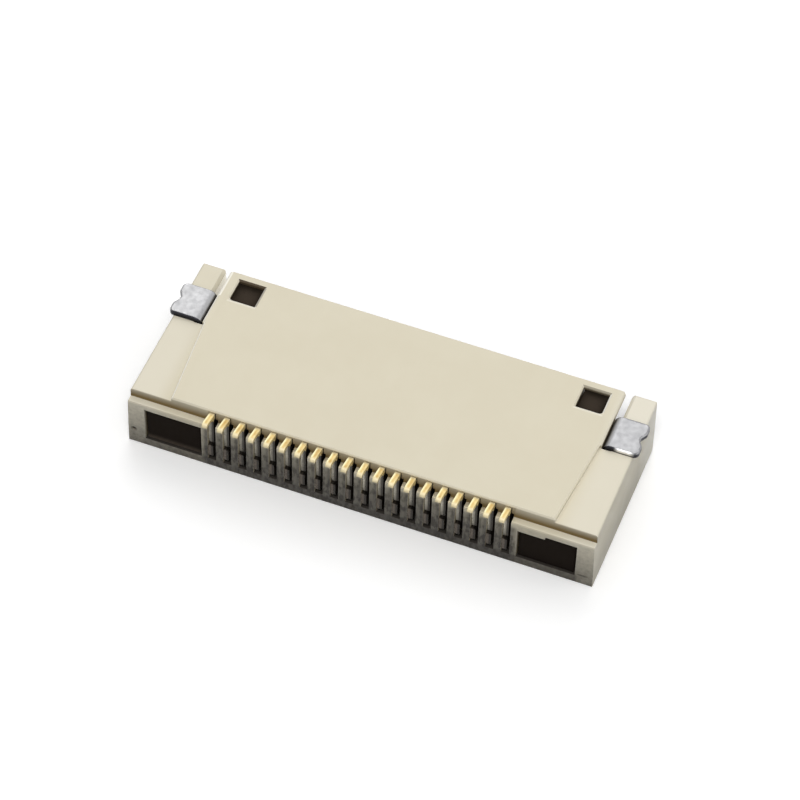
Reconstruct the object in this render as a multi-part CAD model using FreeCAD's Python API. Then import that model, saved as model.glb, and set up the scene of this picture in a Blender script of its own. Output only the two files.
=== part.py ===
import FreeCAD, Part
import math
import os

Vector = FreeCAD.Vector

# A right-angle connector for a flat flexible circuit, with a drawer that locks the circuit.
# It lies on its real top face, solder side up, as such parts are photographed.
# X runs along the contact row, Y from the solder tails (low) to the circuit's mouth (high).
# Heights are measured from the resting face, depths from the tail-side face of the housing.

# Contact row, mm
WAYS = 20
PITCH = 0.5
SLOT_W = 0.27
RISER_GAP = 0.03
CONTACT_T = 0.17
CONTACT_SIDE_GAP = 0.005

# Flexible circuit
FPC_T = 0.3
FPC_CLEAR = 0.06
FPC_EDGE_GAP = 0.03

# Housing widths
END_WALL = 0.205
CHANNEL_W = 1.875
SIDE_WALL = 0.575
SIDE_DRAFT = 0.05
RAIL_W = 0.84
NAIL_SLOT_W = 0.2
PANEL_REAR_STEP = 1.39
PANEL_FRONT_STEP = 1.09

# Housing depths
HOUSING_D = 5.8
PANEL_INSET = 0.1
LEDGE_D = 0.226
REAR_BLOCK_D = 2.0
GROOVE_END = 5.0
ROOF_D = 4.4
SPINE_SLOT_D = 0.7
LEAD_IN_L = 0.5
LEAD_IN_H = 0.4

# Housing heights
ROOF_T = 0.32
LEDGE_H = 1.87
PANEL_H = 2.35
PANEL_SKIN = 0.35
TAIL_SKIN = 0.1
CHANNEL_H = 1.34
ARM_SKIN = 0.15
FLARE_SKIN = 0.25

# Windows over the drawer's arms
WINDOW_W = 0.85
WINDOW_L = 0.82
WINDOW_INSET = 0.3
WINDOW_R = 0.1

# Edges of the moulding
EDGE_R = 0.04
LEDGE_R = 0.06
RAIL_TOP_R = 0.08
RAIL_END_R = 0.18
RAIL_INNER_R = 0.1
PANEL_CORNER_R = 0.1
PANEL_RIM = 0.05
RAIL_CHAMFER_CLEAR = 0.01
DIMPLE_R = 0.08
DIMPLE_DEPTH = 0.05
DIMPLE_FROM_SIDE = 0.2
DIMPLE_H = 0.62
LIP_W = 0.87
LIP_H = 0.11
LIP_GAP = 0.02
FLARE_GAP = 0.05

# Drawer
TRAVEL = 1.2
STOP_GAP = 0.12
FOOT_RECESS = 0.06
FOOT_GAP = 0.05
RUN_GAP = 0.04
SIDE_GAP = 0.08
TONGUE_T = 0.3
TONGUE_TIP_GAP = 0.2
TONGUE_CHAMFER = 0.12
ARM_W = 0.87
ARM_TALL_L = 2.35
ARM_FRONT_INSET = 0.15
ARM_LEAD = 0.12
ARM_R = 0.1
ARM_SLOT_GAP = 0.1
BAR_INSET = 0.25
BAR_SIDE_GAP = 0.1
BAR_REACH = 0.5
BAR_LIFT = 0.03
BAR_LEAD = 0.2
GRIP_D = 0.3
GRIP_H = 0.4
GRIP_R = 0.12
GRIP_ROOT_R = 0.05

# Contact blade, cut from flat strip
CONTACT_RECESS = 0.1
SPINE_W = 0.5
SPINE_TOP_GAP = 0.01
ROOT_R = 0.15
BASE_ARM_H = 0.26
BASE_ARM_END = 3.9
BASE_TIP_L = 0.2
BASE_TIP_H = 0.1
SPRING_ROOT_H = 0.38
SPRING_TIP_H = 0.2
SPRING_DROP = 0.11
SPRING_RISE = 0.2
KNEE_L = 0.3
POINT_Y = 4.15
POINT_FLAT = 0.1
POINT_R = 0.1
POINT_H = 0.25
TIP_Y = 4.72
TIP_LEAN = 0.06
FINGER_H = 0.13
FINGER_END = 1.8
FINGER_SLIT = 0.09
SLIT_ROOT = 0.2
BARB_H = 0.03
BARB_L = 0.25
BARB_STEP = 0.05
FINGER_NOSE = 0.04
STUB_H = 0.46
STUB_BASE = 0.16
STUB_REACH = 0.08
NOTCH = 0.09
TAIL_REACH = 0.4
TAIL_FLAT = 0.14
TAIL_T = 0.13
TAIL_TIP_R = 0.1
BOARD_STANDOFF = 0.02
BEND_R = 0.1

# Solder nails, folded sheet
NAIL_T = 0.17
NAIL_Y = 3.42
NAIL_L = 1.28
NAIL_BEND_R = 0.28
NAIL_OVERHANG = 0.1
NAIL_NOTCH = 0.15
NAIL_LOBE_L = 0.38
NAIL_LOBE_R = 0.16
NAIL_BLADE_H = 1.35
NAIL_BLADE_R = 0.15
NAIL_EDGE = 0.04
NAIL_PLAY = 0.02

OVER = 0.5

# Places worked out from the sizes above
row_half = (WAYS - 1) * PITCH / 2
fpc_half = (WAYS + 1) * PITCH / 2
channel_in = row_half + SLOT_W / 2 + END_WALL
channel_out = channel_in + CHANNEL_W
half_w = channel_out + SIDE_WALL
rail_in = half_w - RAIL_W
nail_slot_in = rail_in - NAIL_SLOT_W
rail_chamfer = nail_slot_in + NAIL_PLAY + NAIL_BEND_R - rail_in + RAIL_CHAMFER_CLEAR
panel_d = HOUSING_D - PANEL_INSET
window_out = fpc_half + WINDOW_W
arm_in = fpc_half + FPC_EDGE_GAP
arm_out = arm_in + ARM_W
bar_half = arm_out - BAR_INSET
tongue_z = ROOF_T + BASE_ARM_H + RUN_GAP
fpc_low = tongue_z + TONGUE_T
fpc_high = fpc_low + FPC_T + FPC_CLEAR
channel_top = ROOF_T + CHANNEL_H
groove_top = PANEL_H - PANEL_SKIN
tail_slot_top = PANEL_H - TAIL_SKIN
arm_ceiling = PANEL_H - ARM_SKIN
board_z = PANEL_H + BOARD_STANDOFF
rail_h = board_z - NAIL_T
spine_top = tail_slot_top - SPINE_TOP_GAP
foot_front = NAIL_Y - TRAVEL - STOP_GAP
nail_end = NAIL_Y + NAIL_L


def on_yz(x):
    return lambda u, v: Vector(x, u, v)


def on_xz(y):
    return lambda u, v: Vector(u, y, v)


def on_xy(z):
    return lambda u, v: Vector(u, v, z)


def rounded_wire(corners, place):
    """Closed outline through corners (u, v, radius), with an arc at each corner that has a radius."""
    count = len(corners)
    stretches = []
    for i in range(count):
        u, v, r = corners[i]
        here = Vector(u, v, 0)
        if r <= 0:
            stretches.append((here, None, here))
            continue
        back = Vector(*corners[i - 1][:2], 0).sub(here).normalize()
        ahead = Vector(*corners[(i + 1) % count][:2], 0).sub(here).normalize()
        half = back.getAngle(ahead) / 2
        run = r / math.tan(half)
        middle = (back + ahead).normalize()
        start = here + back * run
        end = here + ahead * run
        crown = here + middle * (r / math.sin(half) - r)
        stretches.append((start, crown, end))
    edges = []
    for i in range(count):
        start, crown, end = stretches[i]
        if crown is not None:
            edges.append(Part.Arc(*(place(p.x, p.y) for p in (start, crown, end))).toShape())
        follow = stretches[(i + 1) % count][0]
        if end.distanceToPoint(follow) > 1e-6:
            edges.append(Part.LineSegment(place(end.x, end.y), place(follow.x, follow.y)).toShape())
    return Part.Wire(edges)


def prism(corners, place, along):
    return Part.Face(rounded_wire(corners, place)).extrude(along)


def box(x0, x1, y0, y1, z0, z1):
    return Part.makeBox(x1 - x0, y1 - y0, z1 - z0, Vector(x0, y0, z0))


def mirrored(shape):
    return shape.mirror(Vector(0, 0, 0), Vector(1, 0, 0))


def both_sides(shape):
    return [shape, mirrored(shape)]


def slot_centres():
    return [i * PITCH - row_half for i in range(WAYS)]


def contact_centre(slot_x):
    """Each contact is pushed against the low-X side of its slot."""
    return slot_x - (SLOT_W - CONTACT_T) / 2 + CONTACT_SIDE_GAP


def body_block():
    """Outer form: ledge and rail steps from the side, drafted walls from the end, round far corners."""
    side = [
        (0, 0, EDGE_R),
        (HOUSING_D, 0, EDGE_R),
        (HOUSING_D, rail_h, RAIL_TOP_R),
        (LEDGE_D, rail_h, EDGE_R),
        (LEDGE_D, LEDGE_H, 0),
        (0, LEDGE_H, LEDGE_R),
    ]
    top_half = half_w - SIDE_DRAFT
    end = [
        (-half_w, 0, EDGE_R),
        (half_w, 0, EDGE_R),
        (top_half, rail_h, RAIL_TOP_R),
        (-top_half, rail_h, RAIL_TOP_R),
    ]
    plan = [
        (-half_w, 0, EDGE_R),
        (half_w, 0, EDGE_R),
        (half_w, HOUSING_D, RAIL_END_R),
        (-half_w, HOUSING_D, RAIL_END_R),
    ]
    block = prism(side, on_yz(-half_w), Vector(2 * half_w, 0, 0))
    block = block.common(prism(end, on_xz(0), Vector(0, HOUSING_D, 0)))
    return block.common(prism(plan, on_xy(0), Vector(0, 0, rail_h)))


def arm_window():
    """Right-hand window over the drawer's arm."""
    far = panel_d - WINDOW_INSET
    near = far - WINDOW_L
    outline = [
        (fpc_half, near, 0),
        (window_out, near, WINDOW_R),
        (window_out, far, 0),
        (fpc_half, far, 0),
    ]
    return prism(outline, on_xy(arm_ceiling - OVER), Vector(0, 0, ARM_SKIN + 2 * OVER))


def panel_plate():
    """Raised centre panel with broken rims: it widens from the tail side up to the nail slots."""
    rear = half_w - PANEL_REAR_STEP
    front = half_w - PANEL_FRONT_STEP
    right = [
        (rear, LEDGE_D, 0),
        (front, NAIL_Y, 0),
        (nail_slot_in, NAIL_Y, 0),
        (nail_slot_in, panel_d, PANEL_CORNER_R),
    ]
    left = [(-x, y, r) for x, y, r in reversed(right)]
    base = LEDGE_H / 2
    plate = prism(right + left, on_xy(base), Vector(0, 0, PANEL_H - base))
    plate = plate.cut(both_sides(arm_window()))
    rim = [e for e in plate.Edges if all(abs(v.Z - PANEL_H) < 1e-6 for v in e.Vertexes)]
    return plate.makeChamfer(PANEL_RIM, rim)


def circuit_mouth():
    """Opening for the tongue and the circuit, with a lead-in under the panel's front edge."""
    low = ROOF_T + BASE_ARM_H
    section = [
        (REAR_BLOCK_D, low, 0),
        (HOUSING_D + OVER, low, 0),
        (HOUSING_D + OVER, fpc_high + LEAD_IN_H, 0),
        (panel_d, fpc_high + LEAD_IN_H, 0),
        (panel_d - LEAD_IN_L, fpc_high, 0),
        (REAR_BLOCK_D, fpc_high, 0),
    ]
    reach = channel_in + SIDE_GAP
    mouth = prism(section, on_yz(-reach), Vector(2 * reach, 0, 0))
    room_half = bar_half + BAR_SIDE_GAP
    bar_room = box(-room_half, room_half, ROOF_D, HOUSING_D + OVER, -OVER, fpc_low)
    return [mouth, bar_room]


def panel_front_trim():
    """Clears the body under the front of the panel back to the panel's own front edge."""
    return box(-nail_slot_in, nail_slot_in, panel_d, HOUSING_D + OVER, ROOF_T, PANEL_H + OVER)


def contact_slot(x):
    """Slot for one blade; above the groove it closes round the blade."""
    low_x = x - SLOT_W / 2
    high_x = x + SLOT_W / 2
    groove = box(low_x, high_x, -OVER, GROOVE_END, ROOF_T, groove_top)
    riser_x = low_x + CONTACT_SIDE_GAP + CONTACT_T + RISER_GAP
    riser = box(low_x, riser_x, -OVER, SPINE_SLOT_D, ROOF_T, tail_slot_top)
    return groove.fuse(riser)


def arm_channel():
    """Right-hand way for the drawer's arm, open at both ends."""
    lower = box(channel_in, channel_out, -OVER, HOUSING_D + OVER, ROOF_T, channel_top)
    upper_y = panel_d - ARM_FRONT_INSET - ARM_TALL_L - ARM_SLOT_GAP
    upper = box(
        fpc_half, arm_out + ARM_SLOT_GAP, upper_y, HOUSING_D + OVER, channel_top - OVER, arm_ceiling
    )
    flare = box(
        arm_out, rail_in, nail_end + FLARE_GAP, HOUSING_D + OVER, channel_top - OVER, PANEL_H - FLARE_SKIN
    )
    return [lower, upper, flare]


def nail_slot():
    """Right-hand slot between panel and rail, open at the far end, with the rail's broken edge."""
    gap = box(
        nail_slot_in, rail_in, NAIL_Y - NAIL_PLAY, HOUSING_D + OVER, channel_top - OVER, PANEL_H + OVER
    )
    chamfer = [
        (rail_in - OVER, rail_h + OVER, 0),
        (rail_in - OVER, rail_h - rail_chamfer, 0),
        (rail_in, rail_h - rail_chamfer, 0),
        (rail_in + rail_chamfer, rail_h, 0),
        (rail_in + rail_chamfer, rail_h + OVER, 0),
    ]
    edge = prism(chamfer, on_xz(NAIL_Y - NAIL_PLAY), Vector(0, HOUSING_D + OVER - NAIL_Y, 0))
    edge = edge.cut(box(0, nail_slot_in, 0, HOUSING_D + 2 * OVER, 0, PANEL_H + 2 * OVER))
    r = RAIL_INNER_R
    corner = box(rail_in, rail_in + r, HOUSING_D - r, HOUSING_D, ROOF_T, PANEL_H)
    axis = Vector(rail_in + r, HOUSING_D - r, ROOF_T)
    corner = corner.cut(Part.makeCylinder(r, PANEL_H, axis))
    return [gap, edge, corner]


def moulding_marks():
    """Dimple on the left end of the tail-side face."""
    centre = Vector(DIMPLE_FROM_SIDE - half_w, -OVER, DIMPLE_H)
    return [Part.makeCylinder(DIMPLE_R, OVER + DIMPLE_DEPTH, centre, Vector(0, 1, 0))]


def make_housing():
    housing = body_block().fuse(panel_plate())
    cutters = circuit_mouth() + [panel_front_trim()] + moulding_marks()
    for piece in arm_channel() + [arm_window()] + nail_slot():
        cutters += both_sides(piece)
    cutters += [contact_slot(x) for x in slot_centres()]
    housing = housing.cut(cutters)
    lip = box(
        channel_in, channel_in + LIP_W, 0, FOOT_RECESS - LIP_GAP, channel_top - LIP_H, channel_top
    )
    return housing.fuse(lip).removeSplitter()


def tail_outline():
    """Solder tail, from the spine out to the tip and back under it; it rises to lie flat on its pad."""
    flat_y = TAIL_FLAT - TAIL_REACH
    rise = (board_z - spine_top) / (LEDGE_D - flat_y)
    tail_at_spine = spine_top + rise * (LEDGE_D - CONTACT_RECESS)
    return [
        (CONTACT_RECESS + SPINE_W, spine_top, 0),
        (LEDGE_D, spine_top, 0),
        (flat_y, board_z, 0),
        (-TAIL_REACH, board_z, TAIL_TIP_R),
        (-TAIL_REACH, board_z - TAIL_T, 0),
        (flat_y, board_z - TAIL_T, 0),
        (CONTACT_RECESS, tail_at_spine - TAIL_T, BEND_R),
    ]


def stub_outline():
    """Cut-off stub of the carrier strip on the spine's rear edge, with a notch above and below it."""
    low = ROOF_T + STUB_BASE
    high = low + STUB_H
    notch_y = CONTACT_RECESS + NOTCH
    stub_y = CONTACT_RECESS - STUB_REACH
    return [
        (CONTACT_RECESS, high + NOTCH, 0),
        (notch_y, high + NOTCH, 0),
        (notch_y, high, 0),
        (stub_y, high, 0),
        (stub_y, low, 0),
        (notch_y, low, 0),
        (notch_y, low - NOTCH, 0),
        (CONTACT_RECESS, low - NOTCH, 0),
    ]


def base_arm_outline():
    """Stiff arm along the roof, under the drawer's tongue."""
    top = ROOF_T + BASE_ARM_H
    return [
        (CONTACT_RECESS, ROOF_T, 0),
        (BASE_ARM_END, ROOF_T, 0),
        (BASE_ARM_END, top - BASE_TIP_H, 0),
        (BASE_ARM_END - BASE_TIP_L, top, 0),
        (CONTACT_RECESS + SPINE_W, top, ROOT_R),
    ]


def spring_arm_outline(spring_high):
    """Tapered spring arm that dips to the contact point and turns up again at its tip."""
    front = CONTACT_RECESS + SPINE_W
    point_z = fpc_high - SPRING_DROP
    knee_z = point_z + SPRING_RISE
    knee_y = POINT_Y - POINT_FLAT - KNEE_L
    return [
        (front, spring_high - SPRING_ROOT_H, ROOT_R),
        (knee_y, knee_z, 0),
        (POINT_Y - POINT_FLAT, point_z, POINT_R),
        (POINT_Y + POINT_FLAT, point_z, POINT_R),
        (TIP_Y, knee_z, 0),
        (TIP_Y - TIP_LEAN, knee_z + SPRING_TIP_H, 0),
        (POINT_Y, point_z + POINT_H, 0),
        (knee_y, knee_z + SPRING_TIP_H, 0),
        (front + SLIT_ROOT, spring_high, 0),
    ]


def finger_outline(finger_low):
    """Holding finger above the spring arm, with a barb that bites the top of its groove."""
    finger_high = finger_low + FINGER_H
    return [
        (CONTACT_RECESS + SPINE_W + SLIT_ROOT, finger_low, 0),
        (FINGER_END, finger_low, 0),
        (FINGER_END, finger_high - FINGER_NOSE, 0),
        (FINGER_END - BARB_L, groove_top, 0),
        (FINGER_END - BARB_L - BARB_STEP, finger_high, 0),
        (CONTACT_RECESS + SPINE_W, finger_high, 0),
    ]


def make_contact(x):
    """One blade, cut from flat strip; all its parts lie in one outline."""
    finger_low = groove_top - BARB_H - FINGER_H
    outline = tail_outline() + stub_outline() + base_arm_outline()
    outline += spring_arm_outline(finger_low - FINGER_SLIT) + finger_outline(finger_low)
    return prism(outline, on_yz(x - CONTACT_T / 2), Vector(CONTACT_T, 0, 0))


def make_right_nail():
    """Folded sheet: an upright blade in the slot and a fish-tailed tab lying on the rail."""
    inner = nail_slot_in + NAIL_PLAY
    tip = half_w + NAIL_OVERHANG
    section = [
        (inner, board_z - NAIL_BLADE_H, 0),
        (inner + NAIL_T, board_z - NAIL_BLADE_H, 0),
        (inner + NAIL_T, board_z - NAIL_T, NAIL_BEND_R - NAIL_T),
        (tip, board_z - NAIL_T, 0),
        (tip, board_z, 0),
        (inner, board_z, NAIL_BEND_R),
    ]
    sheet = prism(section, on_xz(NAIL_Y), Vector(0, NAIL_L, 0))
    middle = NAIL_Y + NAIL_L / 2
    fish_tail = [
        (inner - OVER, NAIL_Y, 0),
        (tip, NAIL_Y, NAIL_LOBE_R),
        (tip, NAIL_Y + NAIL_LOBE_L, NAIL_LOBE_R),
        (tip - NAIL_NOTCH, middle, NAIL_LOBE_R),
        (tip, nail_end - NAIL_LOBE_L, NAIL_LOBE_R),
        (tip, nail_end, NAIL_LOBE_R),
        (inner - OVER, nail_end, 0),
    ]
    sheet = sheet.common(prism(fish_tail, on_xy(0), Vector(0, 0, board_z)))
    foot_z = board_z - NAIL_BLADE_H
    blade = [
        (NAIL_Y, foot_z, NAIL_BLADE_R),
        (nail_end, foot_z, NAIL_BLADE_R),
        (nail_end, board_z, 0),
        (NAIL_Y, board_z, 0),
    ]
    sheet = sheet.common(prism(blade, on_yz(0), Vector(tip, 0, 0)))
    return sheet.makeChamfer(NAIL_EDGE, outer_rim(sheet))


def outer_rim(sheet):
    """Edges round the top of the nail's tab and over its bend, without the bend's own lines."""
    foot = board_z - NAIL_BEND_R - NAIL_EDGE
    rim = []
    for edge in sheet.Edges:
        ends = [v.Point for v in edge.Vertexes]
        along_bend = abs(ends[0].y - ends[-1].y) > NAIL_L / 2
        reaches_top = any(abs(p.z - board_z) < 1e-6 for p in ends)
        if reaches_top and not along_bend and all(p.z > foot for p in ends):
            rim.append(edge)
    return rim


def drawer_arm():
    """Right-hand arm: a broad foot behind the rear pocket and a tall guide beside the circuit."""
    low = ROOF_T + FOOT_GAP
    high = channel_top - FOOT_GAP
    arm_top = arm_ceiling - RUN_GAP
    front = panel_d - ARM_FRONT_INSET
    foot = [
        (channel_in + FOOT_GAP, FOOT_RECESS, EDGE_R),
        (channel_out - FOOT_GAP, FOOT_RECESS, EDGE_R),
        (channel_out - FOOT_GAP, foot_front, EDGE_R),
        (channel_in + FOOT_GAP, foot_front, EDGE_R),
    ]
    foot = prism(foot, on_xy(low), Vector(0, 0, high - low))
    side = [
        (foot_front - EDGE_R, low, 0),
        (front, low, 0),
        (front, arm_top, ARM_R),
        (front - ARM_TALL_L, arm_top, ARM_R),
        (front - ARM_TALL_L, high, ARM_R),
        (foot_front - EDGE_R, high, 0),
    ]
    arm = prism(side, on_yz(arm_in), Vector(ARM_W, 0, 0))
    lead = [
        (arm_in - OVER, front + OVER, 0),
        (arm_in - OVER, front - ARM_LEAD, 0),
        (arm_in, front - ARM_LEAD, 0),
        (arm_in + ARM_LEAD, front, 0),
        (arm_in + ARM_LEAD, front + OVER, 0),
    ]
    arm = arm.cut(prism(lead, on_xy(fpc_low), Vector(0, 0, PANEL_H)))
    return foot.fuse(arm)


def make_slider():
    """Drawer: cross bar with a finger grip, wedge tongue under the circuit, and two arms."""
    tongue_tip = REAR_BLOCK_D + TONGUE_TIP_GAP
    bar_back = ROOF_D + RUN_GAP
    bar_front = HOUSING_D + BAR_REACH
    tongue = [
        (tongue_tip, tongue_z, 0),
        (bar_back + RUN_GAP, tongue_z, 0),
        (bar_back + RUN_GAP, fpc_low, 0),
        (tongue_tip + 2 * TONGUE_CHAMFER, fpc_low, 0),
        (tongue_tip, fpc_low - TONGUE_CHAMFER, 0),
    ]
    bar = [
        (bar_back, BAR_LIFT, 0),
        (bar_front, BAR_LIFT, GRIP_R),
        (bar_front, GRIP_H, GRIP_R),
        (bar_front - GRIP_D, GRIP_H, GRIP_ROOT_R),
        (bar_front - GRIP_D, fpc_low - BAR_LEAD, 0),
        (bar_front - GRIP_D - BAR_LEAD, fpc_low, 0),
        (bar_back, fpc_low, 0),
    ]
    slider = prism(tongue, on_yz(-arm_in), Vector(2 * arm_in, 0, 0))
    slider = slider.fuse(prism(bar, on_yz(-bar_half), Vector(2 * bar_half, 0, 0)))
    return slider.fuse(both_sides(drawer_arm())).removeSplitter()


def solid_of(shape):
    return shape.Solids[0] if len(shape.Solids) == 1 else shape


def export(name, shape):
    """Moves a piece to the frame whose origin is under the housing's middle, and writes it."""
    shape = solid_of(shape).copy()
    shape.translate(Vector(0, -HOUSING_D / 2, 0))
    shape.exportStep(f"parts/{name}.step")


def main():
    os.makedirs("parts", exist_ok=True)
    export("housing", make_housing())
    export("slider", make_slider())
    for number, slot_x in enumerate(slot_centres(), start=1):
        export(f"contact_{number:02d}", make_contact(contact_centre(slot_x)))
    nail = make_right_nail()
    export("solder_nail_right", nail)
    export("solder_nail_left", mirrored(nail))


main()
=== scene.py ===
import math
from functools import cached_property

import bpy
from mathutils import Matrix, Vector


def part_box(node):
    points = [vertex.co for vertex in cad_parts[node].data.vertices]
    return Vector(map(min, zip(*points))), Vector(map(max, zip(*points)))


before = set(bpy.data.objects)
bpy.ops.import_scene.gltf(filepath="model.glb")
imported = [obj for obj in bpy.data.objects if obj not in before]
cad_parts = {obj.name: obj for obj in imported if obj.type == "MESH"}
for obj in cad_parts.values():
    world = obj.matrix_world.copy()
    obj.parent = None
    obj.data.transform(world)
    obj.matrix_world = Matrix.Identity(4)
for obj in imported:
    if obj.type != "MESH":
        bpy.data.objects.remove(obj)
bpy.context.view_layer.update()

MM = 0.001
X, Y, Z = range(3)

contacts = sorted(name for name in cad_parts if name.startswith("contact_"))
nails = ["solder_nail_left", "solder_nail_right"]


def box_in_mm(node):
    """The lowest and the highest corner of a node at rest."""
    return [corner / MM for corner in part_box(node)]


# Places on the part in mm: x along the contact row, y towards the mouth, z towards the solder side
housing_low, housing_high = box_in_mm("housing")
HALF_W, FAR_END, PANEL_TOP = housing_high
TAIL_FACE = housing_low.y
LEDGE_TOP = 1.87
BASE_TOP = 0.32
RAIL_IN = HALF_W - 0.84
NAIL_SLOT_IN = RAIL_IN - 0.20
WINDOW_IN, WINDOW_OUT = 5.25, 6.10
WINDOW_NEAR, WINDOW_FAR = 1.68, 2.50
DIMPLE = (-HALF_W + 0.20, TAIL_FACE + 0.02, 0.62)
DIMPLE_REACH = (0.15, 0.20, 0.12)
DARK_SPOT = (HALF_W - 0.34, TAIL_FACE, 0.41)
DARK_SPOT_REACH = (0.24, 0.10, 0.07)

nail_high = box_in_mm("solder_nail_right")[1]
NAIL_FAR, NAIL_TOP = nail_high.y, nail_high.z

# The contact row: its ribs repeat from the part's middle, its blades from the first contact
first_low, first_high = box_in_mm(contacts[0])
last_low = box_in_mm(contacts[-1])[0]
WAYS = len(contacts)
PITCH = (last_low.x - first_low.x) / (WAYS - 1)
RIB_MIDDLE = 0.0
BLADE_MIDDLE = (first_low.x + first_high.x) / 2
ROW_END = WAYS * PITCH / 2 - 0.05
TAIL_TIP = first_low.y
STUB_FOOT = BASE_TOP + 0.16
STUB_TOP = STUB_FOOT + 0.46

# The photograph's view: azimuth turns the camera towards +X, roll is clockwise in the picture
CAMERA_AZIMUTH = math.radians(19.80)
CAMERA_ELEVATION = math.radians(50.09)
CAMERA_ROLL = math.radians(1.88)
CAMERA_PLACE = Vector((22.5149, -61.9051, 80.8434)) * MM
LENS_MM = 152.48
SENSOR_MM = 36.0
CLIP_NEAR, CLIP_FAR = 0.005, 10.0

# Soft panels turned to the part: place and size in metres, and the level they light a white face to
LAMPS = {
    "key": ((0.05, -0.18, 0.305), (0.16, 0.12), 0.36),
    "sheen": ((-0.086, 0.270, 0.222), (0.26, 0.30), 0.19),
    "side": ((0.32, 0.06, 0.12), (0.16, 0.12), 0.12),
}
# The dome's strength at the horizon and overhead, and the height of a direction at which it is full.
# With the lamps it makes a white surface that faces up render as about 1
DOME_HORIZON = 0.05
DOME_ZENITH = 0.50
DOME_FULL_AT = 0.60
# The floor's brightness to the eye and for the light it throws back, and half its side in metres
FLOOR_SEEN = 1.12
FLOOR_BOUNCE = 0.15
FLOOR_HALF = 0.6
# Painted light: the strength of the glow painted on the rails' inner walls
WALL_GLOW = 0.60

# Half the width over which the left end's tones change to the right end's, and the reach of shelter, in mm
CROSSOVER = 1.0
SHELTER_REACH = 0.8
SHELTER_SAMPLES = 8
BEVEL_SAMPLES = 6

# Linear colours
HOUSING_BASE = (0.700, 0.645, 0.500, 1.0)
HOUSING_PALE = (0.740, 0.690, 0.545, 1.0)
HOUSING_WARM = (0.660, 0.590, 0.440, 1.0)
HOUSING_EDGE = (0.830, 0.790, 0.680, 1.0)
HOUSING_RAIL = (0.780, 0.740, 0.630, 1.0)
HOUSING_RIM = (0.950, 0.920, 0.820, 1.0)
HOUSING_SHADE = (0.240, 0.180, 0.090, 1.0)
# Painted deep shade for the tail-side wall
HOUSING_DEEP_SHADE = (0.190, 0.130, 0.048, 1.0)
# Painted shade towards the foot
HOUSING_FOOT_SHADE = (0.090, 0.080, 0.065, 1.0)
HOUSING_DARK = (0.035, 0.030, 0.025, 1.0)
WINDOW_WALL_SHADE = (0.085, 0.062, 0.036, 1.0)
SLIDER_BASE = (0.022, 0.017, 0.012, 1.0)
SLIDER_PALE = (0.042, 0.031, 0.022, 1.0)
# Painted light in the open, painted near-black shade on the tail side, and a paler foot
SLIDER_OPEN_LIGHT = (0.065, 0.050, 0.038, 1.0)
SLIDER_DEEP_SHADE = (0.008, 0.006, 0.005, 1.0)
SLIDER_PALE_FOOT = (0.100, 0.080, 0.062, 1.0)
GOLD = (0.820, 0.650, 0.290, 1.0)
GOLD_PALE = (0.950, 0.870, 0.540, 1.0)
GOLD_DEEP = (0.520, 0.320, 0.080, 1.0)
GOLD_WHITE = (0.800, 0.690, 0.430, 1.0)
NICKEL_BRIGHT = (0.620, 0.590, 0.510, 1.0)
NICKEL = (0.360, 0.335, 0.280, 1.0)
# Streaks, and painted shade on the blades
NICKEL_STREAK_AND_SHADE = (0.150, 0.140, 0.120, 1.0)
NICKEL_SHADE = (0.030, 0.027, 0.023, 1.0)
STUB_BROWN = (0.110, 0.092, 0.076, 1.0)
TIN = (0.430, 0.430, 0.435, 1.0)
# Mottling, and the painted shade on the right nail
TIN_MOTTLE_AND_SHADE = (0.290, 0.290, 0.300, 1.0)
# Painted dark reflections on rims and cut faces, and painted highlights
TIN_DARK_REFLECTION = (0.050, 0.050, 0.058, 1.0)
TIN_CUT_DARK_REFLECTION = (0.025, 0.025, 0.030, 1.0)
TIN_HIGHLIGHT = (0.900, 0.900, 0.900, 1.0)


class Nodes:
    """Short calls to build a node tree. A value is a socket of another node or a constant."""

    def __init__(self, tree):
        self.tree = tree

    def put(self, value, socket):
        """Links a socket to the value, or sets the constant on it."""
        if isinstance(value, bpy.types.NodeSocket):
            self.tree.links.new(value, socket)
        else:
            socket.default_value = value

    def add(self, kind, inputs=None, **settings):
        """Adds a node with the given settings and inputs, and gives its outputs."""
        node = self.tree.nodes.new("ShaderNode" + kind)
        for name, setting in settings.items():
            setattr(node, name, setting)
        for socket, value in (inputs or {}).items():
            self.put(value, node.inputs[socket])
        return node.outputs

    def split(self, vector):
        return self.add("SeparateXYZ", {"Vector": vector})

    def math(self, operation, a, b=0.0):
        return self.add("Math", {0: a, 1: b}, operation=operation)["Value"]

    def either(self, a, b):
        """The larger of two shares."""
        return self.math("MAXIMUM", a, b)

    def product(self, *factors):
        result = factors[0]
        for factor in factors[1:]:
            result = self.math("MULTIPLY", result, factor)
        return result

    def mix(self, factor, a, b):
        return self.add("Mix", {"Factor": factor, "A": a, "B": b}, data_type="RGBA")["Result"]

    def ranged(self, value, low, high, out_low=0.0, out_high=1.0, curve="SMOOTHSTEP"):
        """Goes smoothly from one output to the other as the value goes from low to high."""
        inputs = {"Value": value, "From Min": low, "From Max": high}
        inputs |= {"To Min": out_low, "To Max": out_high}
        return self.add("MapRange", inputs, interpolation_type=curve)["Result"]

    def straight(self, value, low, high, out_low, out_high):
        """The same in a straight line."""
        return self.ranged(value, low, high, out_low, out_high, "LINEAR")

    def seen_or_mirrored(self):
        """1 for what the eye sees directly, reflected or through glass, 0 for light that is thrown on."""
        path = self.add("LightPath")
        mirrored = self.either(path["Is Camera Ray"], path["Is Glossy Ray"])
        return self.either(mirrored, path["Is Transmission Ray"])


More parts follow.
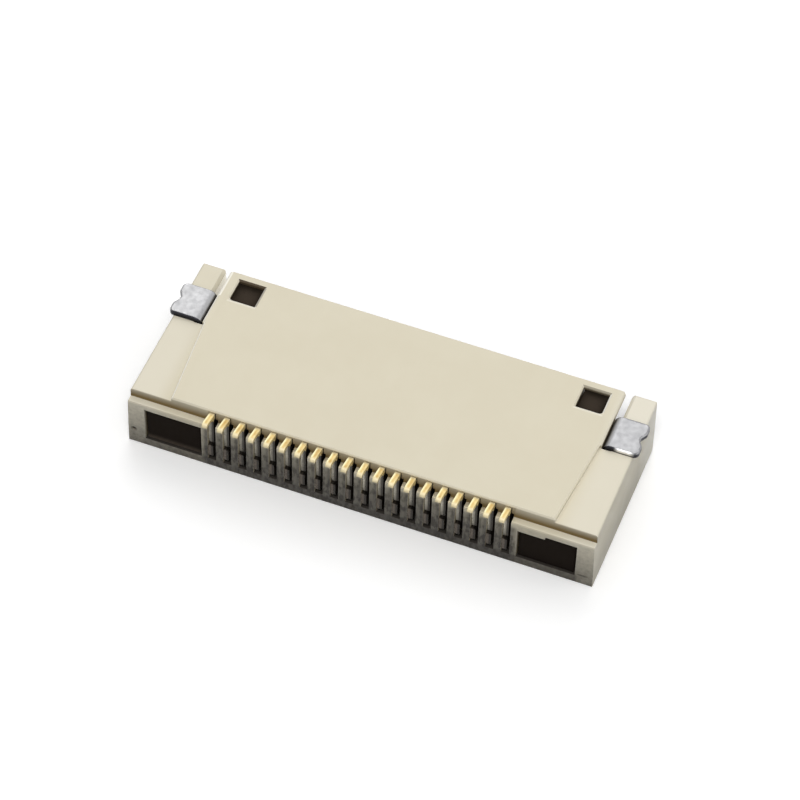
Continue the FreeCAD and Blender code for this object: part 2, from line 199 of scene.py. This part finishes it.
class Surface(Nodes):
    """A material's node tree, with masks by place and direction on the part. Lengths are in mm."""

    def __init__(self, name):
        self.material = bpy.data.materials.new(name)
        self.material.use_nodes = True
        super().__init__(self.material.node_tree)
        self.sockets = self.tree.nodes["Principled BSDF"].inputs

    @cached_property
    def place(self):
        """The place on the part in metres, before any joint moves it."""
        return self.add("TexCoord")["Object"]

    @cached_property
    def axes(self):
        """The place's x, y and z."""
        return self.split(self.place)

    @cached_property
    def across(self):
        """Distance from the part's middle along x."""
        return self.math("ABSOLUTE", self.axes[X])

    @cached_property
    def left(self):
        """1 on the part's left end, 0 on its right end."""
        return self.fade(self.axes[X], CROSSOVER, -CROSSOVER)

    @cached_property
    def right(self):
        """1 on the part's right end, 0 on its left end."""
        return self.fade(self.axes[X], -CROSSOVER, CROSSOVER)

    @cached_property
    def normal(self):
        """The surface's own direction."""
        return self.add("NewGeometry")["Normal"]

    @cached_property
    def tail_side(self):
        """1 on faces turned to the tail side."""
        return self.facing(Y, -0.5, -0.9)

    @cached_property
    def sideways(self):
        """1 on faces turned to either end of the contact row."""
        return self.either(self.facing(X, 0.85, 0.98), self.facing(X, -0.85, -0.98))

    def fade(self, place, start, end, out_start=0.0, out_end=1.0):
        """A smooth change from one place to another."""
        return self.ranged(place, start * MM, end * MM, out_start, out_end)

    def ramp(self, place, start, end, out_start=0.0, out_end=1.0):
        """A straight change from one place to another."""
        return self.straight(place, start * MM, end * MM, out_start, out_end)

    def band(self, place, low, high, soft=0.02):
        """1 between two places, 0 outside them."""
        rise = self.fade(place, low - soft, low + soft)
        return self.product(rise, self.fade(place, high + soft, high - soft))

    def row(self, middle):
        """0 to 1 across each step of the contact row: 0.5 at the given x and at whole steps from it."""
        steps = self.math("DIVIDE", self.axes[X], PITCH * MM)
        return self.math("FRACT", self.math("ADD", steps, WAYS + 0.5 - middle / PITCH))

    def facing(self, axis, low, high):
        """0 to 1 as the surface's own direction along an axis goes from low to high."""
        return self.ranged(self.split(self.normal)[axis], low, high)

    def bevel(self, radius):
        """The surface's normal with its corners rounded."""
        return self.add("Bevel", {"Radius": radius * MM}, samples=BEVEL_SAMPLES)["Normal"]

    def edge_mask(self, radius):
        """About 1 on convex and concave edges within radius, 0 on flat faces."""
        inputs = {0: self.bevel(radius), 1: self.normal}
        likeness = self.add("VectorMath", inputs, operation="DOT_PRODUCT")["Value"]
        return self.ranged(likeness, 0.98, 0.80)

    def shelter(self):
        """1 in the open, towards 0 in slots and close to other faces."""
        inputs = {"Distance": SHELTER_REACH * MM}
        return self.add("AmbientOcclusion", inputs, samples=SHELTER_SAMPLES)["AO"]

    def spot(self, centre, reach):
        """1 at the centre, fading to 0 at the given reach along each axis."""
        location = [-c / r for c, r in zip(centre, reach)]
        scale = [1.0 / (r * MM) for r in reach]
        moved = self.add("Mapping", {"Vector": self.place, "Location": location, "Scale": scale})
        length = self.add("VectorMath", {0: moved["Vector"]}, operation="LENGTH")["Value"]
        return self.ranged(length, 1.0, 0.2)

    def noise(self, scale, detail=3.0, roughness=0.5, stretch=(1.0, 1.0, 1.0)):
        """Noise with features of about 1/scale metres, longer along an axis whose stretch is under 1."""
        place = self.add("Mapping", {"Vector": self.place, "Scale": stretch})["Vector"]
        inputs = {"Vector": place, "Scale": scale, "Detail": detail, "Roughness": roughness}
        return self.add("TexNoise", inputs)["Fac"]

    def paint(self, colour, tint, *shares):
        """The colour with a tint over it, as far as the product of the shares."""
        return self.mix(self.product(*shares), colour, tint)

    def relief(self, height, strength, depth, corner):
        """The surface's normal with fine relief on it and its corners rounded to a radius."""
        inputs = {"Height": height, "Strength": strength, "Distance": depth * MM}
        inputs["Normal"] = self.bevel(corner)
        return self.add("Bump", inputs)["Normal"]

    def painted_glow(self, colour, strength):
        """Painted light: makes the surface glow in a colour, though it is no lamp."""
        self.put(colour, self.sockets["Emission Color"])
        self.put(strength, self.sockets["Emission Strength"])

    def finish(self, colour, roughness, normal, metallic=0.0, specular=0.5):
        self.put(colour, self.sockets["Base Color"])
        self.put(roughness, self.sockets["Roughness"])
        self.put(normal, self.sockets["Normal"])
        self.put(metallic, self.sockets["Metallic"])
        self.put(specular, self.sockets["Specular IOR Level"])
        return self.material


def mottled_beige(n):
    """Soft mottling, faint flow lines along y, and paler rails with their far ends toned apart."""
    mottling = n.ranged(n.noise(450.0, detail=4.0, roughness=0.55), 0.35, 0.65)
    flow = n.ranged(n.noise(900.0, roughness=0.6, stretch=(1.0, 0.16, 1.0)), 0.35, 0.70)
    colour = n.paint(HOUSING_BASE, HOUSING_PALE, mottling, 0.35)
    colour = n.paint(colour, HOUSING_WARM, flow, 0.10)
    on_rail = n.fade(n.across, NAIL_SLOT_IN - 0.3, NAIL_SLOT_IN + 0.3)
    colour = n.paint(colour, HOUSING_RAIL, on_rail, 0.45)
    far_end = n.product(on_rail, n.fade(n.axes[Y], FAR_END - 1.7, FAR_END - 0.9))
    colour = n.paint(colour, HOUSING_BASE, far_end, n.left, 0.6)
    return n.paint(colour, HOUSING_EDGE, far_end, n.right, 0.5)


def worn_and_lit_edges(n, colour):
    """Paler edges above the foot, partly wear and partly a painted highlight, and a painted highlight on
    the panel's rim on its left and far sides.
    """
    colour = n.paint(colour, HOUSING_EDGE, n.edge_mask(0.07), n.fade(n.axes[Z], 0.10, 0.40), 0.8)
    sloping = n.product(n.facing(Z, 0.95, 0.85), n.facing(Z, 0.50, 0.60))
    left_or_far = n.either(n.facing(X, -0.3, -0.6), n.facing(Y, 0.3, 0.6))
    at_top = n.fade(n.axes[Z], PANEL_TOP - 0.07, PANEL_TOP - 0.05)
    return n.paint(colour, HOUSING_RIM, sloping, left_or_far, at_top)


def sheltered_corners(n, colour):
    """Warm shade in slots and corners, which stays off the ledge at both ends of the contact row."""
    ledge = n.product(
        n.facing(Z, 0.5, 0.9),
        n.band(n.axes[Z], LEDGE_TOP - 0.17, LEDGE_TOP + 0.11),
        n.fade(n.axes[Y], TAIL_FACE + 0.26, TAIL_FACE + 0.12),
        n.fade(n.across, ROW_END - 0.05, ROW_END + 0.05),
    )
    open_air = n.ranged(n.shelter(), 0.05, 0.60)
    return n.mix(n.either(open_air, ledge), HOUSING_SHADE, colour)


def lip_highlights(n, colour):
    """Painted highlights on the lips at the near edge of both windows and at the far end of the panel's
    left side.
    """
    by_window = n.product(
        n.band(n.axes[Y], WINDOW_NEAR - 0.11, WINDOW_NEAR - 0.05),
        n.band(n.across, WINDOW_IN - 0.05, WINDOW_OUT + 0.05),
        0.35,
    )
    left_side = n.product(
        n.band(n.axes[X], -NAIL_SLOT_IN + 0.04, -NAIL_SLOT_IN + 0.10),
        n.band(n.axes[Y], NAIL_FAR - 0.10, FAR_END - 0.10),
        0.9,
    )
    return n.paint(colour, HOUSING_RIM, n.either(by_window, left_side), n.fade(n.axes[Z], 1.2, 1.4))


def wall_above_ledge(n, colour):
    """The panel's tail-side wall: painted brown shade, deeper towards the ledge and darker between the
    tails.
    """
    top, foot = PANEL_TOP - 0.05, LEDGE_TOP + 0.10
    by_tails = n.product(
        n.fade(n.across, ROW_END + 0.05, ROW_END - 0.05),
        n.ramp(n.axes[Z], top, foot, 0.48, 1.0),
    )
    below_rim = n.fade(n.axes[Z], PANEL_TOP - 0.01, PANEL_TOP - 0.06)
    above_ledge = n.fade(n.axes[Z], LEDGE_TOP - 0.05, LEDGE_TOP + 0.01)
    depth = n.either(by_tails, n.ramp(n.axes[Z], top, foot, 0.10, 1.0))
    return n.paint(colour, HOUSING_DEEP_SHADE, n.tail_side, depth, below_rim, above_ledge)


def shaded_tail_face(n, colour):
    """The face below the ledge: painted shade with a fine speckle, deepening towards the foot."""
    speckle = n.straight(n.noise(7000.0, roughness=0.7), 0.3, 0.7, -0.12, 0.12)
    foot_shade = n.math("ADD", n.ramp(n.axes[Z], 1.8, 0.0, 0.0, 0.88), speckle)
    below_ledge = n.fade(n.axes[Z], LEDGE_TOP - 0.01, LEDGE_TOP - 0.17)
    return n.paint(colour, HOUSING_FOOT_SHADE, n.tail_side, below_ledge, n.either(foot_shade, 0.0))


def shaded_ribs(n, colour):
    """The ribs between the contacts: painted shade, deeper towards the foot and the right, broken by dark
    and pale patches.
    """
    ribs = n.product(
        n.tail_side,
        n.fade(n.across, ROW_END + 0.17, ROW_END - 0.02),
        n.fade(n.axes[Z], LEDGE_TOP - 0.12, LEDGE_TOP - 0.29),
        n.ramp(n.axes[Z], 1.6, 0.9, 0.55, 0.82),
    )
    colour = n.paint(colour, HOUSING_DARK, ribs)
    colour = n.paint(colour, HOUSING_DARK, ribs, n.ranged(n.row(RIB_MIDDLE), 0.44, 0.64))
    patches = n.ranged(n.noise(8000.0, roughness=0.6, stretch=(1.0, 1.0, 0.45)), 0.42, 0.62)
    colour = n.paint(colour, HOUSING_DARK, ribs, patches, 0.75)
    return n.paint(colour, HOUSING_EDGE, ribs, n.math("SUBTRACT", 1.0, patches), 0.12)


def shaded_pockets(n, colour):
    """Painted shade on the face under both pockets, more on the right, and on every low face that looks up.
    """
    colour = n.paint(
        colour,
        HOUSING_DARK,
        n.tail_side,
        n.fade(n.axes[Z], BASE_TOP + 0.13, BASE_TOP - 0.02),
        n.fade(n.across, HALF_W - 0.44, HALF_W - 0.59),
        n.fade(n.axes[X], -CROSSOVER, CROSSOVER, 0.35, 0.60),
    )
    low = n.fade(n.axes[Z], BASE_TOP + 0.28, BASE_TOP + 0.13)
    return n.paint(colour, HOUSING_DARK, n.facing(Z, 0.5, 0.9), low)


def shaded_windows(n, colour):
    """Painted shade on the walls of both windows, lighter at the top of the right one, and on a lip in the
    left one.
    """
    walls = n.product(
        n.band(n.across, WINDOW_IN - 0.08, WINDOW_OUT + 0.04),
        n.fade(n.axes[Y], WINDOW_NEAR - 0.08, WINDOW_NEAR - 0.03),
        n.fade(n.axes[Y], WINDOW_FAR + 0.07, WINDOW_FAR + 0.05),
        n.either(n.facing(Z, 0.5, 0.3), n.facing(Y, -0.4, -0.6)),
    )
    pale_top = n.product(n.ramp(n.axes[Z], PANEL_TOP - 0.15, PANEL_TOP - 0.03, 0.0, 0.5), n.right)
    colour = n.paint(colour, WINDOW_WALL_SHADE, walls, n.math("SUBTRACT", 1.0, pale_top))
    lip = n.band(n.axes[X], -WINDOW_IN - 0.01, -WINDOW_IN + 0.07)
    return n.paint(colour, WINDOW_WALL_SHADE, lip, n.band(n.axes[Y], WINDOW_NEAR, WINDOW_FAR), 0.5)


def small_marks(n, colour):
    """Painted shade in the dimple in the left end, and a dark spot on the right one."""
    colour = n.paint(colour, HOUSING_DARK, n.spot(DIMPLE, DIMPLE_REACH))
    return n.paint(colour, HOUSING_DARK, n.spot(DARK_SPOT, DARK_SPOT_REACH), 0.7)


def lit_and_shaded_sides(n, colour):
    """The outer side faces: painted shade towards the foot, and painted light towards the far end."""
    outer = n.product(n.sideways, n.fade(n.across, HALF_W - 0.19, HALF_W - 0.09))
    colour = n.paint(colour, HOUSING_FOOT_SHADE, outer, n.ramp(n.axes[Z], 1.5, 0.4, 0.0, 0.27))
    return n.paint(colour, HOUSING_RIM, outer, n.ramp(n.axes[Y], FAR_END - 1.7, FAR_END - 0.2, 0.0, 0.9))


def housing_material():
    """Pale beige moulded plastic with a satin grain, with shade and light painted on by place."""
    n = Surface("housing_plastic")
    colour = mottled_beige(n)
    layers = (
        worn_and_lit_edges, sheltered_corners, lip_highlights, wall_above_ledge, shaded_tail_face,
        shaded_ribs, shaded_pockets, shaded_windows, small_marks, lit_and_shaded_sides,
    )
    for layer in layers:
        colour = layer(n, colour)
    # Painted light: the rails' inner walls glow
    glowing_rail_wall = n.product(
        n.sideways,
        n.band(n.across, RAIL_IN - 0.04, RAIL_IN + 0.04),
        n.band(n.axes[Y], NAIL_FAR + 0.02, FAR_END + 0.05),
        n.fade(n.axes[Z], 1.60, 1.75),
    )
    n.painted_glow(HOUSING_RAIL, n.product(glowing_rail_wall, WALL_GLOW))
    roughness = n.ranged(n.noise(2500.0), 0.3, 0.7, 0.42, 0.56)
    grain = n.noise(30000.0, detail=2.0, roughness=0.6)
    normal = n.relief(grain, strength=0.25, depth=0.002, corner=0.03)
    return n.finish(colour, roughness, normal, specular=0.25)


def slider_material():
    """Dark brown moulded plastic: painted lighter in the open, painted near-black shade where it faces the
    tail side, and paler at the foot of the left end.
    """
    n = Surface("slider_plastic")
    mottling = n.ranged(n.noise(1200.0, detail=4.0, roughness=0.6), 0.35, 0.70)
    colour = n.paint(SLIDER_BASE, SLIDER_PALE, mottling, 0.5)
    colour = n.paint(colour, SLIDER_OPEN_LIGHT, n.ranged(n.shelter(), 0.76, 1.00))
    colour = n.paint(colour, SLIDER_DEEP_SHADE, n.tail_side, 0.8)
    foot = n.fade(n.axes[Z], BASE_TOP + 0.30, BASE_TOP)
    colour = n.paint(colour, SLIDER_PALE_FOOT, n.tail_side, foot, n.left)
    roughness = n.ranged(n.noise(3500.0), 0.3, 0.7, 0.45, 0.60)
    normal = n.relief(n.noise(26000.0, detail=2.0), strength=0.3, depth=0.002, corner=0.03)
    return n.finish(colour, roughness, normal, specular=0.01)


def gold_and_highlights(n, blade):
    """Gold with a random tone, painted highlights on both sides and edges, a painted darker reflection down
    the middle, and whiter painted highlights at the tail's root and tip.
    """
    tone = n.ranged(n.noise(5200.0, stretch=(1.0, 0.5, 1.0)), 0.30, 0.70)
    gold = n.paint(GOLD, GOLD_DEEP, tone, 0.6)
    gold = n.paint(gold, GOLD_PALE, n.ranged(blade, 0.46, 0.38))
    gold = n.paint(gold, GOLD_PALE, n.edge_mask(0.03), 0.8)
    middle = n.product(n.ranged(blade, 0.46, 0.50), n.ranged(blade, 0.58, 0.54))
    gold = n.paint(gold, GOLD_DEEP, middle, n.math("ADD", 0.25, tone), 0.45)
    beyond_face = n.ramp(n.axes[Y], TAIL_FACE - 0.05, TAIL_FACE - 0.30, 0.0, 0.4)
    gold = n.paint(gold, GOLD_PALE, n.ranged(blade, 0.59, 0.64), beyond_face)
    gold = n.paint(gold, GOLD_WHITE, n.fade(n.axes[Y], TAIL_FACE + 0.10, TAIL_FACE + 0.20))
    return n.paint(gold, GOLD_WHITE, n.fade(n.axes[Y], TAIL_TIP + 0.14, TAIL_TIP + 0.05))


def nickel_and_painted_light(n, blade):
    """Streaked along its height, with a painted highlight on the left side and painted shade on the right
    side, lower down and below the stub; dull brown on the stub.
    """
    streaks = n.ranged(n.noise(7000.0, roughness=0.6, stretch=(1.0, 1.0, 0.25)), 0.30, 0.66)
    nickel = n.mix(streaks, NICKEL_STREAK_AND_SHADE, NICKEL)
    nickel = n.paint(nickel, NICKEL_BRIGHT, n.ranged(blade, 0.46, 0.38))
    nickel = n.paint(nickel, NICKEL_STREAK_AND_SHADE, n.ramp(n.axes[Z], 1.5, 1.05, 0.0, 0.8))
    nickel = n.paint(nickel, STUB_BROWN, n.fade(n.axes[Z], STUB_TOP + 0.06, STUB_TOP + 0.01))
    nickel = n.paint(nickel, NICKEL_SHADE, n.fade(n.axes[Z], STUB_FOOT + 0.02, STUB_FOOT - 0.08))
    return n.paint(nickel, NICKEL_SHADE, n.ranged(blade, 0.48, 0.56), 0.9)


def contact_material():
    """Gold plate on the tail and the contact point's half of the arms, grey sheared nickel between them."""
    n = Surface("contact_plating")
    tail = n.product(
        n.fade(n.axes[Y], TAIL_FACE + 0.28, TAIL_FACE + 0.20),
        n.fade(n.axes[Z], LEDGE_TOP + 0.11, LEDGE_TOP + 0.23),
    )
    gilded = n.either(tail, n.fade(n.axes[Y], 0.3, 0.7))
    blade = n.row(BLADE_MIDDLE)
    colour = n.mix(gilded, nickel_and_painted_light(n, blade), gold_and_highlights(n, blade))
    grain = n.ranged(n.noise(12000.0, detail=2.0), 0.3, 0.7, 0.26, 0.42)
    roughness = n.math("ADD", grain, n.product(gilded, 0.2))
    scratches = n.noise(14000.0, detail=2.0, stretch=(1.0, 1.0, 0.3))
    normal = n.relief(scratches, strength=0.15, depth=0.002, corner=0.02)
    return n.finish(colour, roughness, normal, metallic=n.straight(gilded, 0.0, 1.0, 0.85, 0.4))


def nail_material():
    """Matte tin plate with soft grey mottling; painted dark reflections on its rims, bends and cut faces,
    painted highlights near its top edges and on the right tab's cut face, and painted shade on the right
    nail.
    """
    n = Surface("nail_tin")
    mottling = n.ranged(n.noise(3800.0, detail=4.0, roughness=0.6), 0.38, 0.68)
    colour = n.paint(TIN, TIN_MOTTLE_AND_SHADE, mottling, 0.50)
    colour = n.paint(colour, TIN_MOTTLE_AND_SHADE, n.right, 0.40)
    colour = n.paint(colour, TIN_DARK_REFLECTION, n.edge_mask(0.09), 0.7)
    # Painted highlights near the top edges, broken up by noise
    highlight_breaks = n.ranged(n.noise(9000.0, detail=2.0), 0.56, 0.62)
    colour = n.paint(colour, TIN_HIGHLIGHT, n.edge_mask(0.20), highlight_breaks, n.facing(Z, 0.9, 0.98), 0.7)
    colour = n.paint(colour, TIN_DARK_REFLECTION, n.facing(Z, 0.95, 0.15))
    cut_edge = n.facing(Y, -0.35, -0.75)
    colour = n.paint(colour, TIN_CUT_DARK_REFLECTION, cut_edge)
    right_tab = n.band(n.axes[X], HALF_W - 0.59, HALF_W - 0.09, soft=0.1)
    upper_edge = n.fade(n.axes[Z], NAIL_TOP - 0.15, NAIL_TOP - 0.09)
    colour = n.paint(colour, TIN_HIGHLIGHT, cut_edge, right_tab, upper_edge)
    far_rim = n.fade(n.axes[Y], NAIL_FAR - 0.10, NAIL_FAR - 0.02)
    colour = n.paint(colour, TIN_DARK_REFLECTION, far_rim, n.right, 0.6)
    roughness = n.ranged(n.noise(6000.0), 0.3, 0.7, 0.34, 0.50)
    hammered = n.noise(7000.0, roughness=0.55)
    normal = n.relief(hammered, strength=0.35, depth=0.006, corner=0.05)
    return n.finish(colour, roughness, normal, metallic=1.0)


def dress(names, material):
    for name in names:
        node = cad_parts[name]
        node.data.materials.clear()
        node.data.materials.append(material)


def grey(level):
    return (level, level, level, 1.0)


def make_floor():
    """Pale floor: white to the eye and to reflections, darker for the light it throws back."""
    mesh = bpy.data.meshes.new("floor")
    corners = [(x * FLOOR_HALF, y * FLOOR_HALF, 0) for x, y in ((-1, -1), (1, -1), (1, 1), (-1, 1))]
    mesh.from_pydata(corners, [], [(0, 1, 2, 3)])
    floor = bpy.data.objects.new("floor", mesh)
    bpy.context.scene.collection.objects.link(floor)
    n = Surface("floor_paper")
    colour = n.mix(n.seen_or_mirrored(), grey(FLOOR_BOUNCE), grey(FLOOR_SEEN))
    n.put(colour, n.sockets["Base Color"])
    n.put(1.0, n.sockets["Roughness"])
    n.put(0.0, n.sockets["Specular IOR Level"])
    mesh.materials.append(n.material)


def make_world():
    """A soft dome, brighter overhead than at the horizon, plain white to the eye and to reflections."""
    world = bpy.data.worlds.new("studio")
    world.use_nodes = True
    bpy.context.scene.world = world
    n = Nodes(world.node_tree)
    rise = n.split(n.add("TexCoord")["Generated"])[Z]
    dome = n.straight(rise, 0.0, DOME_FULL_AT, DOME_HORIZON, DOME_ZENITH)
    back = n.tree.nodes["Background"].inputs
    n.put(grey(1.0), back["Color"])
    n.put(n.straight(n.seen_or_mirrored(), 0.0, 1.0, dome, 1.0), back["Strength"])


def make_lights():
    for name, (place, (width, height), level) in LAMPS.items():
        light = bpy.data.lights.new(name, "AREA")
        light.shape = "RECTANGLE"
        light.size = width
        light.size_y = height
        away = Vector(place)
        light.energy = level * 4.0 * math.pi * away.length_squared
        lamp = bpy.data.objects.new(name, light)
        lamp.location = away
        lamp.rotation_euler = away.to_track_quat("Z", "Y").to_euler()
        bpy.context.scene.collection.objects.link(lamp)


def make_camera():
    az, el, roll = CAMERA_AZIMUTH, CAMERA_ELEVATION, CAMERA_ROLL
    ahead = Vector((-math.sin(az) * math.cos(el), math.cos(az) * math.cos(el), -math.sin(el)))
    level = ahead.cross(Vector((0, 0, 1))).normalized()
    rise = level.cross(ahead)
    right = math.cos(roll) * level + math.sin(roll) * rise
    up = -math.sin(roll) * level + math.cos(roll) * rise
    data = bpy.data.cameras.new("camera")
    data.lens = LENS_MM
    data.sensor_width = SENSOR_MM
    data.clip_start = CLIP_NEAR
    data.clip_end = CLIP_FAR
    camera = bpy.data.objects.new("camera", data)
    rows = Matrix((right, up, -ahead)).transposed().to_4x4()
    camera.matrix_world = Matrix.Translation(CAMERA_PLACE) @ rows
    bpy.context.scene.collection.objects.link(camera)
    bpy.context.scene.camera = camera


make_camera()
make_world()
make_lights()
make_floor()
dress(["housing"], housing_material())
dress(["slider"], slider_material())
dress(contacts, contact_material())
dress(nails, nail_material())

bpy.context.scene.view_settings.view_transform = "Standard"
